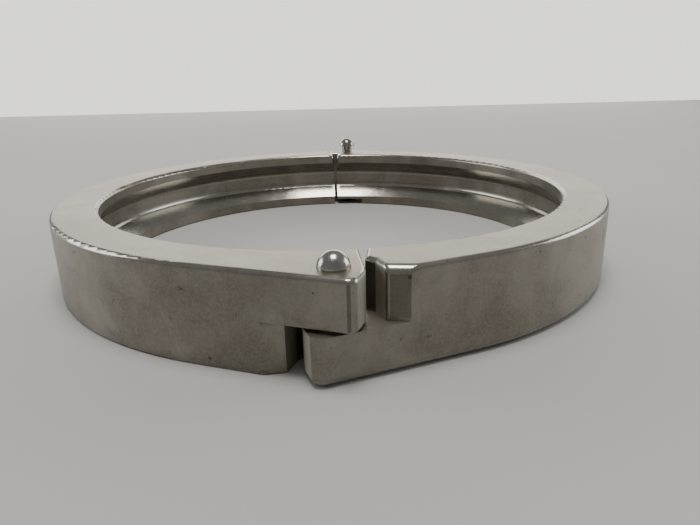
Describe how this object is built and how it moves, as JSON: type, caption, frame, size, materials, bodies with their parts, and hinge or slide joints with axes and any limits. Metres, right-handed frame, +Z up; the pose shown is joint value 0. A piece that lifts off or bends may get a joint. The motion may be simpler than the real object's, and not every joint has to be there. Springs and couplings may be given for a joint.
{
  "type": "hinged ring clamp",
  "caption": "Two-part hinged metal ring clamp with an inner V groove, a half-lap hinge and a captive lock pin, for closing round a pipe or a flanged joint.",
  "frame": {"origin": "on the axis of the pipe that the ring grips, at the clamp's underside, which rests on z = 0", "axes": "+Z up along the pipe's axis, out of the side with the domed pin heads; the hinge is at -Y and the lock joint at +Y"},
  "size_m": [0.188, 0.202, 0.0318],
  "materials": {
    "ring_metal": "dull nickel-grey machined steel with fine pits, scuffs and smudges, and edges rubbed bright",
    "pin_steel": "smooth turned steel, satin",
    "bush_bronze": "plain bronze",
    "washer_steel": "plain satin steel",
    "tongue_steel": "dark dull steel",
    "screw_steel": "dark oxidised steel",
    "o_ring_rubber": "black, matt"
  },
  "bodies": {
    "left_half": {"left_half": "ring_metal", "hinge_pin": "pin_steel", "hinge_thrust_washer": "washer_steel", "hinge_tail_washer": "washer_steel", "tongue_plate": "tongue_steel", "tongue_screws": "screw_steel"},
    "right_half": {"right_half": "ring_metal", "hinge_bush": "bush_bronze", "keeper_screw": "screw_steel"},
    "lock_pin": {"lock_pin": "pin_steel", "lock_pin_o_ring": "o_ring_rubber"}
  },
  "joints": [
    {"name": "hinge", "type": "hinge", "parent": "left_half", "child": "right_half", "pos_m": [0, -0.0932, 0], "axis": [0, 0, -1], "range_deg": [0, 60]},
    {"name": "lock_slide", "type": "slide", "parent": "right_half", "child": "lock_pin", "axis": [0, 0, -1], "range_m": [0, 0.003]}
  ]
}
